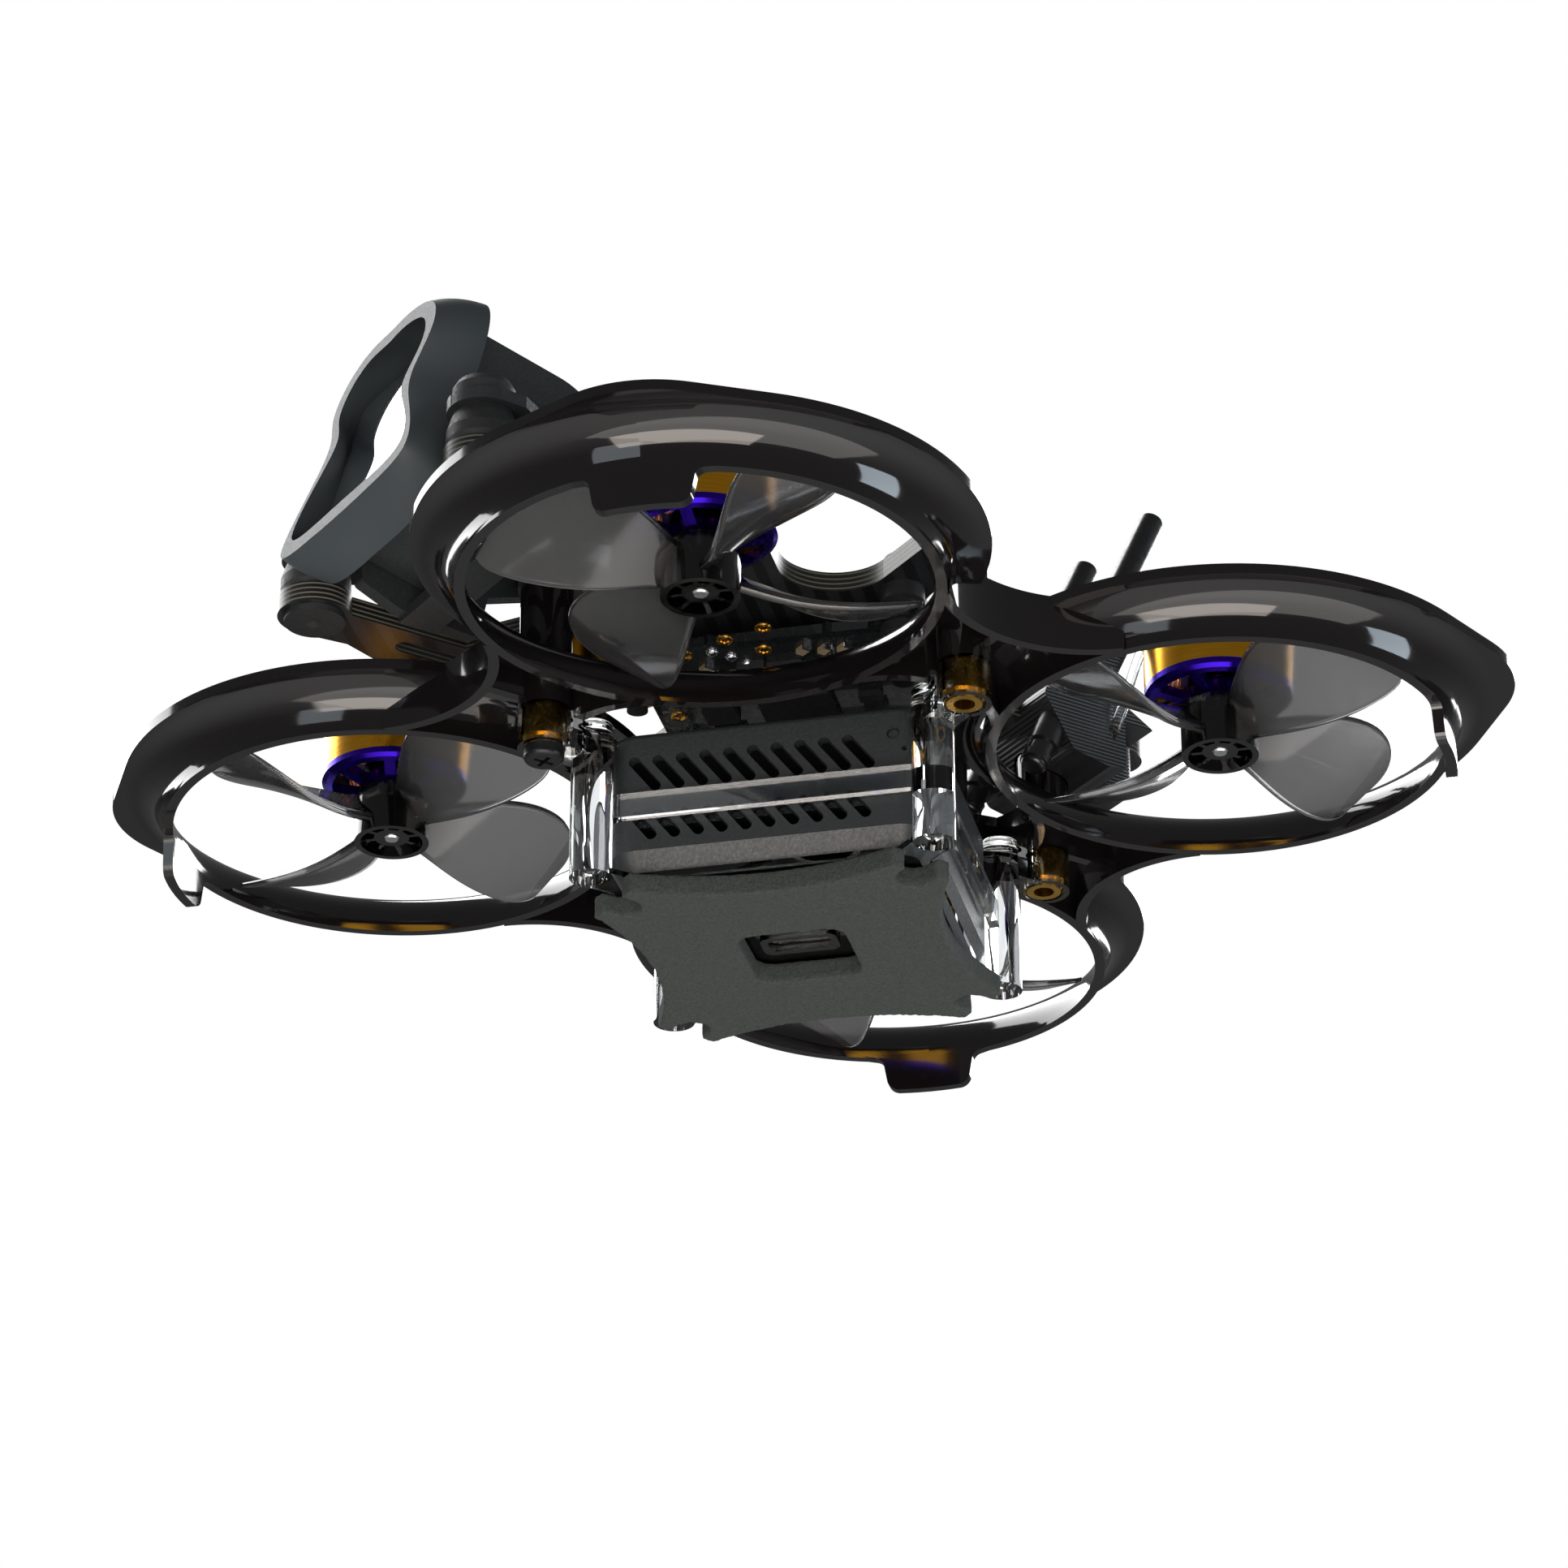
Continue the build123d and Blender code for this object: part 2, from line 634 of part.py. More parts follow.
# ---- video unit: a vented tray with a bevelled bottom, a lid, the board and its button ----
UNIT_WALL = 1.2
LID_T = 2.0
SLOT_COUNT = 10
SLOT_ROWS = ((UNIT_Z + 10.1, 4.4), (UNIT_Z + 4.6, 3.2))    # height and length of each row
SLOT_PITCH = 2.25
BUTTON_Z = UNIT_Z + 11.6

with BuildPart() as case:
    with BuildSketch(turned(UNIT_Z, 45)):
        RectangleRounded(UNIT_SIDE, UNIT_SIDE, 3)
    extrude(amount=UNIT_H - LID_T)
    chamfer(case.edges().group_by(Axis.Z)[0], 2.2, 1.2)
    with BuildSketch(turned(UNIT_Z + UNIT_WALL, 45)):
        RectangleRounded(UNIT_SIDE - 5, UNIT_SIDE - 5, 2)
    extrude(amount=2)
    with BuildSketch(turned(UNIT_Z + UNIT_WALL, 45)):
        RectangleRounded(UNIT_SIDE - 5, UNIT_SIDE - 5, 2)
    extrude(amount=UNIT_H, mode=Mode.SUBTRACT)
    with BuildSketch(turned(UNIT_Z + 3, 45)):
        RectangleRounded(UNIT_SIDE - 2 * UNIT_WALL, UNIT_SIDE - 2 * UNIT_WALL, 2)
    extrude(amount=UNIT_H, mode=Mode.SUBTRACT)
    near = Plane(
        origin=(UNIT_SIDE / 2 / 2**0.5, -UNIT_SIDE / 2 / 2**0.5, 0),
        x_dir=(1, 1, 0),
        z_dir=(1, -1, 0),
    )
    with BuildSketch(near):
        for middle, length in SLOT_ROWS:
            for k in range(SLOT_COUNT):
                with Locations((SLOT_PITCH * (k - (SLOT_COUNT - 1) / 2) - 1.2, middle)):
                    SlotOverall(length, 1.05, rotation=128)
        with Locations((12.2, BUTTON_Z)):
            Circle(0.6)
        with Locations((13.2, BUTTON_Z - 1.6)):
            Circle(0.25)
    extrude(amount=-1.6, mode=Mode.SUBTRACT)
save(case, "video_case")

with BuildPart() as lid:
    with BuildSketch(turned(UNIT_TOP - LID_T, 45)):
        RectangleRounded(UNIT_SIDE, UNIT_SIDE, 3)
    extrude(amount=LID_T)
    fillet(lid.edges().group_by(Axis.Z)[-1], 0.7)
    with BuildSketch(turned(UNIT_TOP - LID_T, 45)):
        RectangleRounded(UNIT_SIDE - 2 * UNIT_WALL, UNIT_SIDE - 2 * UNIT_WALL, 2)
    extrude(amount=LID_T - UNIT_WALL, mode=Mode.SUBTRACT)
    with BuildSketch(turned(UNIT_TOP - 0.8, 45)):
        for k in range(7):
            with Locations((0, 3.2 * (k - 3))):
                SlotOverall(20, 1.4)
    extrude(amount=0.8, mode=Mode.SUBTRACT)
save(lid, "video_lid")

with BuildPart() as video_board:
    with BuildSketch(turned(UNIT_Z + 5.2, 45)):
        RectangleRounded(27.6, 27.6, 1.5)
    extrude(amount=1.0)
    with BuildSketch(turned(UNIT_Z + 6.2, 45)):
        with Locations((-5.5, -5.5), (6, 6), (6, -6)):
            Rectangle(8, 8)
        with Locations((-6, 7)):
            Rectangle(6, 3)
    extrude(amount=1.3)
    with BuildSketch(turned(UNIT_Z + 4.0, 45)):
        with Locations((3, 0)):
            Rectangle(11, 11)
    extrude(amount=1.2)
save(video_board, "video_board")

with BuildPart() as link_button:
    with BuildSketch(near.offset(-1.5)):
        with Locations((12.2, BUTTON_Z)):
            Circle(0.52)
    extrude(amount=1.1)
save(link_button, "link_button")


# ---- flight controller with its parts, grommets and screws ----
BOARD_LUG_R = 2.9

with BuildPart() as board:
    with BuildSketch(level(BOARD_Z)):
        Rectangle(BOARD_SIDE - 5.6, BOARD_SIDE - 5.6, rotation=45)
        with Locations(stack):
            Circle(BOARD_LUG_R)
        for angle in QUARTERS.values():
            with Locations(polar(BOARD_HOLES - 2.9, angle)):
                Rectangle(5.8, 2 * BOARD_LUG_R, rotation=angle)
        Rectangle(2 * BOARD_HOLES - 8, 12)
        Rectangle(12, 2 * BOARD_HOLES - 8)
    extrude(amount=BOARD_T)
    with BuildSketch(level(BOARD_Z)):
        with Locations(stack):
            Circle(1.7)
        with Locations((7.4, -13.0), (7.7, -8.9)):
            Circle(0.5)
    extrude(amount=BOARD_T, mode=Mode.SUBTRACT)
save(board, "flight_board")

# part positions on the board, in a frame turned 45 degrees: x, y, width, length, height
UNDERSIDE_PARTS = [
    (0, 0, 7, 7, 0.9),
    (-7.5, 4.5, 3.2, 3.2, 0.8),
    (-7.5, -1, 3.2, 3.2, 0.8),
    (-7.5, -6.5, 3.2, 3.2, 0.8),
    (0, 8.5, 4.4, 3, 1.0),
    (7.2, 1.4, 2.2, 1.2, 0.7),
    (7.2, -1.2, 2.2, 1.2, 0.7),
    (7.6, 5.4, 2.6, 2.6, 1.1),
    (0.5, -8.0, 3.4, 2.4, 0.9),
]
TOPSIDE_PARTS = [
    (-3.5, 0, 7, 7, 0.9),
    (6, 0, 5, 4, 0.8),
    (0, 8.6, 7.4, 4.4, 1.6),
    (2.5, -8, 5, 3, 0.8),
]
BOOT_PART = (-2.6, -8.6)

with BuildPart() as components:
    for x, y, width, length, height in UNDERSIDE_PARTS:
        with BuildSketch(turned(BOARD_Z - height, 45)):
            with Locations((x, y)):
                Rectangle(width, length)
        extrude(amount=height)
    for x, y, width, length, height in TOPSIDE_PARTS:
        with BuildSketch(turned(BOARD_Z + BOARD_T, 45)):
            with Locations((x, y)):
                Rectangle(width, length)
        extrude(amount=height)
    with BuildSketch(turned(BOARD_Z - 1.2, 45)):
        with Locations(BOOT_PART):
            Rectangle(2.6, 2.6)
            Circle(0.75, mode=Mode.SUBTRACT)
    extrude(amount=1.2)
save(components, "flight_components")

with BuildPart() as boot_button:
    with BuildSketch(turned(BOARD_Z - 1.6, 45)):
        with Locations(BOOT_PART):
            Circle(0.68)
    extrude(amount=1.2)
save(boot_button, "boot_button")

with BuildPart() as grommets:
    for x, y in stack:
        with BuildSketch(Plane(origin=(x, y, RIM_Z), x_dir=(1, 0, 0), z_dir=(0, -1, 0))):
            Polygon(
                (1.0, 8.5),
                (2.2, 8.5),
                (2.2, 9.4),
                (1.7, 9.4),
                (1.7, 10.4),
                (2.2, 10.4),
                (2.2, 11.2),
                (1.6, 11.5),
                (1.6, 11.9),
                (2.1, 12.1),
                (2.1, 13.6),
                (1.0, 13.6),
                align=None,
            )
        revolve(axis=Axis((x, y, 0), (0, 0, 1)))
save(grommets, "board_grommets")

with BuildPart() as stack_screws:
    with BuildSketch(level(RIM_Z + 3.7)):
        with Locations(stack):
            Circle(1.0)
    extrude(amount=PLATE_TOP - RIM_Z - 3.7)
    with BuildSketch(level(PLATE_TOP)):
        with Locations(stack):
            Circle(HEAD_R)
    extrude(amount=HEAD_H)
    fillet(stack_screws.edges().group_by(Axis.Z)[-1], 0.4)
    with BuildSketch(level(PLATE_TOP + HEAD_H / 2)):
        with Locations(stack):
            RegularPolygon(0.8, 6)
    extrude(amount=HEAD_H / 2, mode=Mode.SUBTRACT)
save(stack_screws, "board_screws")

with BuildPart() as capacitor:
    with BuildSketch(level(RIM_Z + 9.4)):
        with Locations((-8.9, -21.3)):
            Circle(4.4)
    extrude(amount=3.5)
    fillet(capacitor.edges().group_by(Axis.Z)[0], 0.5)
save(capacitor, "capacitor")


# ---- silicone dampers and the cradle that hangs in their grooves ----
NECK_R = 2.2

with BuildPart() as dampers:
    for x, y in DAMPERS:
        with BuildSketch(Plane(origin=(x, y, PLATE_TOP), x_dir=(1, 0, 0), z_dir=(0, -1, 0))):
            Polygon(
                (0, -PLATE_T - 0.3),
                (0.9, -PLATE_T - 0.6),
                (2.9, -PLATE_T - 0.6),
                (2.9, -PLATE_T),
                (1.5, -PLATE_T),
                (1.5, 0),
                (3.2, 0),
                (3.35, 0.7),
                (3.35, 1.8),
                (3.0, 3.0),
                (2.7, 3.9),
                (NECK_R, 3.9),
                (NECK_R, 5.1),
                (2.8, 5.1),
                (2.9, 6.3),
                (2.5, 7.0),
                (0, 7.0),
                align=None,
            )
        revolve(axis=Axis((x, y, 0), (0, 0, 1)))
save(dampers, "camera_dampers")

WALL_IN = 10.0
WALL_OUT = 11.5
WING_CLEAR = 12.65
PIVOT_R = 1.0

with BuildPart() as cradle:
    for side in (1, -1):
        middle_x = side * (WALL_IN + WALL_OUT) / 2
        with BuildSketch(Plane(origin=(middle_x, 0, RIM_Z), x_dir=(0, 1, 0), z_dir=(1, 0, 0))):
            with BuildLine():
                FilletPolyline(
                    (-42.4, 15.3),
                    (-41.9, 21.0),
                    (-41.1, 27.7),
                    (-34.4, 26.3),
                    (-28.6, 20.7),
                    (-22.5, 20.7),
                    (-22.5, 19.5),
                    (-28.8, 17.4),
                    (-29.8, 12.8),
                    (-38.0, 13.4),
                    radius=0.5,
                    close=True,
                )
            make_face()
        extrude(amount=(WALL_OUT - WALL_IN) / 2, both=True)
        cheek = Plane(origin=(side * WALL_OUT, -37.6, RIM_Z + 20.6), x_dir=(0, 1, 0), z_dir=(side, 0, 0))
        with BuildSketch(cheek):
            Circle(4.2)
        extrude(amount=1.0, taper=20)
        with BuildSketch(Plane(origin=(side * WALL_OUT, PIVOT_Y, PIVOT_Z), x_dir=(0, 1, 0), z_dir=(side, 0, 0))):
            Circle(HEAD_R + 0.5)
        extrude(amount=1.2, mode=Mode.SUBTRACT)
    with BuildSketch(level(RIM_Z + 12.8)):
        with Locations((0, -35.5)):
            Rectangle(2 * WALL_OUT, 4)
    extrude(amount=1.2)
    with BuildSketch(level(NECK_Z)):
        for side in (1, -1):
            with BuildLine():
                Polyline(
                    (side * WALL_IN, -37.6),
                    (side * WALL_IN, -30.5),
                    (side * 14.0, -32.5),
                    (side * 19.3, -41.5),
                    (side * 19.4, EAR_Y),
                    (side * EAR_X, EAR_Y - 3.4),
                    (side * WING_CLEAR, EAR_Y),
                    (side * WING_CLEAR, -37.6),
                    (side * WALL_IN, -37.6),
                )
            make_face()
        with Locations((EAR_X, EAR_Y), (-EAR_X, EAR_Y)):
            Circle(3.35)
        with Locations((0, -20.6)):
            RectangleRounded(2 * WALL_OUT, 10.4, 2.5)
        with Locations(DAMPERS):
            Circle(NECK_R, mode=Mode.SUBTRACT)
        with Locations((0, -20.6)):
            SlotOverall(9, 4, mode=Mode.SUBTRACT)
    extrude(amount=NECK_H)
    with Locations(Pos(0, PIVOT_Y, PIVOT_Z) * Rot(0, 90, 0)):
        Cylinder(PIVOT_R + 0.05, 4 * WALL_OUT, mode=Mode.SUBTRACT)
save(cradle, "camera_cradle")


def camera_plane(depth):
    """A plane across the camera's view, that far in front of the tilt axis; local Y is up."""
    lean = radians(CAMERA_TILT)
    forward = Vector(0, -cos(lean), sin(lean))
    return Plane(origin=Vector(0, PIVOT_Y, PIVOT_Z) + forward * depth, x_dir=(1, 0, 0), z_dir=forward)


HOOD_REAR = 8.6
HOOD_MIDDLE = 10.6
HOOD_FRONT = 13.4
HOOD_WALL = 1.5
RIM_WALL = 2.3
BULKHEAD = (8.6, 9.6)
SNOUT_X = 16.4
SNOUT_Y = 13.6
SNOUT_END = 10.6
# half outlines of the hood, top to bottom, at three depths in front of the tilt axis
HOOD_SECTIONS = {
    HOOD_REAR: [
        (0, 13.6), (5.6, 13.2), (9.6, 10.6), (11.4, 6.2), (11.6, 1),
        (11.9, -5), (11.4, -10.4), (7.0, -13.0), (0, -13.4),
    ],
    HOOD_MIDDLE: [
        (0, 13.1), (5.4, 12.7), (9.4, 10.0), (11.0, 5.8), (10.4, 1),
        (11.9, -5), (12.0, -10.4), (7.2, -12.8), (0, -13.2),
    ],
    HOOD_FRONT: [
        (0, 11.2), (4.8, 10.9), (8.4, 8.8), (9.5, 5.2), (8.0, 1),
        (9.9, -4.2), (11.9, -10.4), (6.4, -11.8), (0, -12.0),
    ],
}


def hood_outline(depth, inset=0.0, shift=0.0):
    """The closed outline of the hood at one depth, its points drawn in by the inset."""
    half = HOOD_SECTIONS[depth]
    points = half + [(-x, y) for x, y in reversed(half[1:-1])]
    shrink = [1 - inset / hypot(x, y) for x, y in points]
    ring = make_face(Spline(*[(k * x, k * y) for k, (x, y) in zip(shrink, points)], periodic=True))
    return camera_plane(depth + shift) * ring


hood_outer = loft(sections=[hood_outline(depth) for depth in HOOD_SECTIONS])
hood_inner = loft(
    sections=[
        hood_outline(HOOD_REAR, HOOD_WALL, -0.5),
        hood_outline(HOOD_MIDDLE, HOOD_WALL),
        hood_outline(HOOD_FRONT, RIM_WALL, 0.5),
    ]
)

with BuildPart() as hood:
    add(hood_outer)
    with BuildSketch(camera_plane(BULKHEAD[0])):
        Rectangle(60, 60)
    web = extrude(amount=BULKHEAD[1] - BULKHEAD[0], mode=Mode.PRIVATE)
    add(hood_inner - web, mode=Mode.SUBTRACT)
    with BuildSketch(camera_plane(BULKHEAD[0] - 1)):
        RectangleRounded(SNOUT_X, SNOUT_Y, 1.5)
    extrude(amount=3, mode=Mode.SUBTRACT)
save(hood, "camera_hood")

BODY_R = 7.4
LENS_R = 5.2
LENS_DEPTH = 4.0

with BuildPart() as camera:
    with Locations(Pos(0, PIVOT_Y, PIVOT_Z) * Rot(0, 90, 0)):
        Cylinder(BODY_R, 2 * CAMERA_HALF)
    with BuildSketch(camera_plane(0)):
        Rectangle(2 * CAMERA_HALF, 2 * BODY_R)
    extrude(amount=BULKHEAD[0])
    with BuildSketch(camera_plane(BULKHEAD[0])):
        RectangleRounded(SNOUT_X, SNOUT_Y, 1.5)
    extrude(amount=SNOUT_END - BULKHEAD[0])
    with BuildSketch(camera_plane(LENS_DEPTH)):
        Circle(LENS_R)
    extrude(amount=SNOUT_END, mode=Mode.SUBTRACT)
    with Locations(Pos(0, PIVOT_Y, PIVOT_Z) * Rot(0, 90, 0)):
        Cylinder(PIVOT_R, 4 * CAMERA_HALF, mode=Mode.SUBTRACT)
save(camera, "camera_body")

with BuildPart() as barrel:
    with BuildSketch(camera_plane(LENS_DEPTH)):
        Circle(LENS_R)
    extrude(amount=4.4)
    with BuildSketch(camera_plane(LENS_DEPTH + 4.4)):
        Circle(4.6)
    extrude(amount=1.6)
    with BuildSketch(camera_plane(LENS_DEPTH + 2.5)):
        Circle(3.6)
    extrude(amount=4, mode=Mode.SUBTRACT)
save(barrel, "lens_barrel")

with BuildPart() as glass:
    with BuildSketch(camera_plane(SNOUT_END)):
        RectangleRounded(SNOUT_X - 0.6, SNOUT_Y - 0.6, 1.3)
    extrude(amount=0.8)
    with BuildSketch(camera_plane(LENS_DEPTH + 2.5)):
        Circle(3.6)
    extrude(amount=2.2)
save(glass, "camera_glass")

with BuildPart() as tilt_screws:
    for side in (1, -1):
        seat = Plane(origin=(side * WALL_OUT, PIVOT_Y, PIVOT_Z), x_dir=(0, 1, 0), z_dir=(side, 0, 0))
        with BuildSketch(seat):
            Circle(HEAD_R)
        extrude(amount=HEAD_H)
        with BuildSketch(seat):
            Circle(PIVOT_R)
        extrude(amount=-4.5)
        with BuildSketch(seat.offset(HEAD_H)):
            RegularPolygon(0.8, 6)
        extrude(amount=-0.7, mode=Mode.SUBTRACT)
save(tilt_screws, "camera_tilt_screws")


# ---- rear: two antennas in a printed holder under the plate's tail ----
ANTENNA_R = 1.25
SLEEVE_R = 1.55
HOLDER_HALF = 7.4
rise = Vector(0, ANTENNA_TOP[0] - ANTENNA_FOOT[0], ANTENNA_TOP[1] - ANTENNA_FOOT[1])
ANTENNA_L = rise.length

with BuildPart() as antennas:
    for side in (1, -1):
        foot_plane = Plane(origin=(side * ANTENNA_X, *ANTENNA_FOOT), x_dir=(1, 0, 0), z_dir=rise)
        with BuildSketch(foot_plane):
            Circle(ANTENNA_R)
        extrude(amount=ANTENNA_L)
        with BuildSketch(foot_plane.offset(3.0)):
            Circle(SLEEVE_R)
        extrude(amount=4.0)
        with BuildSketch(foot_plane.offset(0.6)):
            Circle(SLEEVE_R - 0.1)
        extrude(amount=0.9)
    fillet(antennas.edges().group_by(Axis.Z)[0], 0.5)
    fillet(antennas.edges().group_by(Axis.Z)[-1], 0.35)
save(antennas, "antennas")

TUBE_R = 0.55

with BuildPart() as tube:
    with BuildLine() as run:
        Spline(
            (6.0, 31.3, RIM_Z + 10.6),
            (7.9, 31.9, RIM_Z + 13.6),
            (8.2, 34.2, RIM_Z + 20.5),
            (8.0, 36.0, RIM_Z + 24.0),
        )
    with BuildSketch(Plane(origin=run.wires()[0] @ 0, z_dir=run.wires()[0] % 0)):
        Circle(TUBE_R)
    sweep()
save(tube, "receiver_tube")

with BuildPart() as holder:
    with BuildSketch(Plane(origin=(0, 0, RIM_Z), x_dir=(0, 1, 0), z_dir=(1, 0, 0))):
        with BuildLine():
            FilletPolyline(
                (23.4, 14.4),
                (26.8, 9.0),
                (31.0, 8.2),
                (36.4, 9.4),
                (36.4, 13.6),
                (31.2, 16.6),
                (36.2, 27.0),
                (32.2, 29.4),
                radius=0.8,
                close=True,
            )
        make_face()
    extrude(amount=HOLDER_HALF, both=True)
    with BuildSketch(Plane(origin=(0, 0, RIM_Z), x_dir=(0, 1, 0), z_dir=(1, 0, 0))):
        Polygon((33, 5), (40, 5), (40, 13.6), (33, 13.6), align=None)
    extrude(amount=HOLDER_HALF + 1, both=True, mode=Mode.SUBTRACT)
    with BuildSketch(level(RIM_Z + 8.8)):
        with Locations((0, 34)):
            RectangleRounded(7, 6, 1.5)
    extrude(amount=4.8)
    with BuildSketch(level(PLATE_Z)):
        with Locations((0, 30)):
            Rectangle(LUG_W + 0.2, 30)
    extrude(amount=PLATE_T, mode=Mode.SUBTRACT)
    add(rod(POST_OD / 2 + 0.15, 0, POST_R, RIM_Z, PLATE_Z), mode=Mode.SUBTRACT)
    add(rod(HEAD_R + 0.3, 0, POST_R, PLATE_TOP, PLATE_TOP + 9), mode=Mode.SUBTRACT)
    add(rod(0.7, 0, 35, RIM_Z, PLATE_Z + 1), mode=Mode.SUBTRACT)
    add(rod(1.9, 0, 35, PLATE_TOP, PLATE_TOP + 16), mode=Mode.SUBTRACT)
    for side in (1, -1):
        with BuildSketch(Plane(origin=(side * ANTENNA_X, *ANTENNA_FOOT), x_dir=(1, 0, 0), z_dir=rise)):
            Circle(ANTENNA_R)
        extrude(amount=ANTENNA_L, mode=Mode.SUBTRACT)
    add(antennas.part, mode=Mode.SUBTRACT)
    add(tube.part, mode=Mode.SUBTRACT)
save(holder, "antenna_holder")

with BuildPart() as holder_screw:
    with BuildSketch(level(RIM_Z + 9.6)):
        with Locations((0, 35)):
            Circle(0.7)
    extrude(amount=PLATE_TOP - RIM_Z - 9.6)
    with BuildSketch(level(PLATE_TOP)):
        with Locations((0, 35)):
            Circle(1.5)
    extrude(amount=1.0)
    with BuildSketch(level(PLATE_TOP + 0.5)):
        with Locations((0, 35)):
            Rectangle(1.8, 0.35)
            Rectangle(0.35, 1.8)
    extrude(amount=0.5, mode=Mode.SUBTRACT)
save(holder_screw, "holder_screw")
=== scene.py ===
from math import cos, pi, radians, sin

import bpy
from mathutils import Matrix, Vector


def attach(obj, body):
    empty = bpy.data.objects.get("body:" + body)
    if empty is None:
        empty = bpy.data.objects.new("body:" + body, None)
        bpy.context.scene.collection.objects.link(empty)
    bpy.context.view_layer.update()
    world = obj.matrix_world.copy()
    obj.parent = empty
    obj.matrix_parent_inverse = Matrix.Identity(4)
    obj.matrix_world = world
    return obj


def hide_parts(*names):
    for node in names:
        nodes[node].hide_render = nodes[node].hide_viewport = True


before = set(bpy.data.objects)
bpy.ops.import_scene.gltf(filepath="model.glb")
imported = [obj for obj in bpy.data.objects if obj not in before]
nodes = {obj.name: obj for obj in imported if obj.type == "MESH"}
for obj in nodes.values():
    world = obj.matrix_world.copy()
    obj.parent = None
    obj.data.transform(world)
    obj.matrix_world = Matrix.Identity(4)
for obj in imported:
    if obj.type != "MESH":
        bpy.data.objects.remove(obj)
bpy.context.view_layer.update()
bpy.context.scene.view_settings.view_transform = "Standard"

# ---- Studio: the camera looks up at the craft from below its nose, past a pale floor ----
# A white cyclorama that only the camera and clear plastic see at full strength, a broad panel
# under the craft, one low at the front, and smaller panels at the nose, tail, top and back.
RIM_Z = 0.01725                       # lower rims of the ducts
EYE = Vector((0.411364, -0.260826, -0.251002 + RIM_Z))
EYE_RIGHT = Vector((0.53474, 0.84501, -0.00171))
EYE_UP = Vector((0.38789, -0.24367, 0.88891))

camera_data = bpy.data.cameras.new("view")
camera_data.sensor_width = 36.0
camera_data.lens = 132.49
camera_data.shift_x = -0.01018
camera_data.shift_y = 0.00604
camera_data.clip_start = 0.01
eye = bpy.data.objects.new("view", camera_data)
turn = Matrix((EYE_RIGHT, EYE_UP, EYE_RIGHT.cross(EYE_UP))).transposed().to_4x4()
eye.matrix_world = Matrix.Translation(EYE) @ turn
bpy.context.scene.collection.objects.link(eye)
bpy.context.scene.camera = eye


def linear(code):
    """An sRGB hex colour as linear RGBA."""
    parts = [int(code[k : k + 2], 16) / 255 for k in (1, 3, 5)]
    return [c / 12.92 if c <= 0.04045 else ((c + 0.055) / 1.055) ** 2.4 for c in parts] + [1.0]


def add_node(tree, kind, inputs=(), **settings):
    """Add one shader node, with its settings by name and its sockets from values or other sockets."""
    made = tree.nodes.new(kind)
    for name, value in settings.items():
        setattr(made, name, value)
    for name, value in dict(inputs).items():
        if isinstance(value, bpy.types.NodeSocket):
            tree.links.new(value, made.inputs[name])
        else:
            made.inputs[name].default_value = value
    return made


def new_material(name, color, roughness, **fixed):
    """A material with its shader and its output joined, constants on the shader's own sockets."""
    made = bpy.data.materials.new(name)
    made.use_nodes = True
    made.node_tree.nodes.clear()
    tree = made.node_tree
    sockets = {"Base Color": linear(color), "Roughness": roughness}
    sockets.update({key.replace("_", " "): value for key, value in fixed.items()})
    shader = add_node(tree, "ShaderNodeBsdfPrincipled", sockets)
    add_node(tree, "ShaderNodeOutputMaterial", {"Surface": shader.outputs[0]})
    where = add_node(tree, "ShaderNodeTexCoord").outputs["Object"]
    return made, tree, shader, where


def panel(name, toward, distance, size, power, color="#ffffff"):
    """A soft rectangular light seen from the craft in one direction."""
    data = bpy.data.lights.new(name, "AREA")
    data.shape = "RECTANGLE"
    data.size, data.size_y = size
    data.energy = power
    data.color = linear(color)[:3]
    lamp = bpy.data.objects.new(name, data)
    away = Vector(toward).normalized()
    aim = away.to_track_quat("Z", "Y").to_matrix().to_4x4()
    lamp.matrix_world = Matrix.Translation(away * distance) @ aim
    bpy.context.scene.collection.objects.link(lamp)


panel("panel_front_low", (0.75, -0.60, -0.65), 0.9, (0.9, 0.5), 8.0, "#fff2e8")
panel("panel_floor", (0.5, -0.1, -1.0), 0.85, (1.5, 1.3), 12.0, "#fffaf6")
panel("panel_nose", (0.45, -1.0, -0.15), 0.8, (0.3, 0.5), 1.3, "#dfe8ee")
panel("panel_tail", (0.8, 0.9, -0.15), 0.8, (0.3, 0.5), 4.0, "#d6e4ee")
panel("panel_top", (-0.75, -0.21, 0.63), 0.9, (0.8, 0.8), 12.0)
panel("panel_back", (-0.5, 0.9, 0.5), 1.0, (0.6, 0.4), 6.0)

world = bpy.data.worlds.new("studio")
bpy.context.scene.world = world
world.use_nodes = True
sky = world.node_tree
sky.nodes.clear()
path = add_node(sky, "ShaderNodeLightPath")
seen = add_node(
    sky, "ShaderNodeMath", {0: path.outputs["Is Camera Ray"], 1: path.outputs["Is Transmission Ray"]},
    operation="MAXIMUM",
)
level = add_node(
    sky, "ShaderNodeMapRange", {"Value": seen.outputs[0], "From Min": 0.0, "From Max": 1.0,
                                "To Min": 0.16, "To Max": 1.0}
)
backdrop = add_node(sky, "ShaderNodeBackground", {"Color": (1, 1, 1, 1), "Strength": level.outputs[0]})
add_node(sky, "ShaderNodeOutputWorld", {"Surface": backdrop.outputs[0]})

bpy.ops.mesh.primitive_plane_add(size=6, location=(0, 0, -0.9))
floor = bpy.context.object
floor.name = "floor"
floor_finish = new_material("pale_floor", "#f2f2f0", 0.6)[0]
floor.data.materials.append(floor_finish)

# ---- Duct frame: four rings and four bridges, moulded in smoked polycarbonate ----
# The mould is polished, so it shines like dark glass, and thin edges let some light through.
PLACES = ("front_left", "front_right", "rear_left", "rear_right")
SIDES = ("front", "rear", "left", "right")


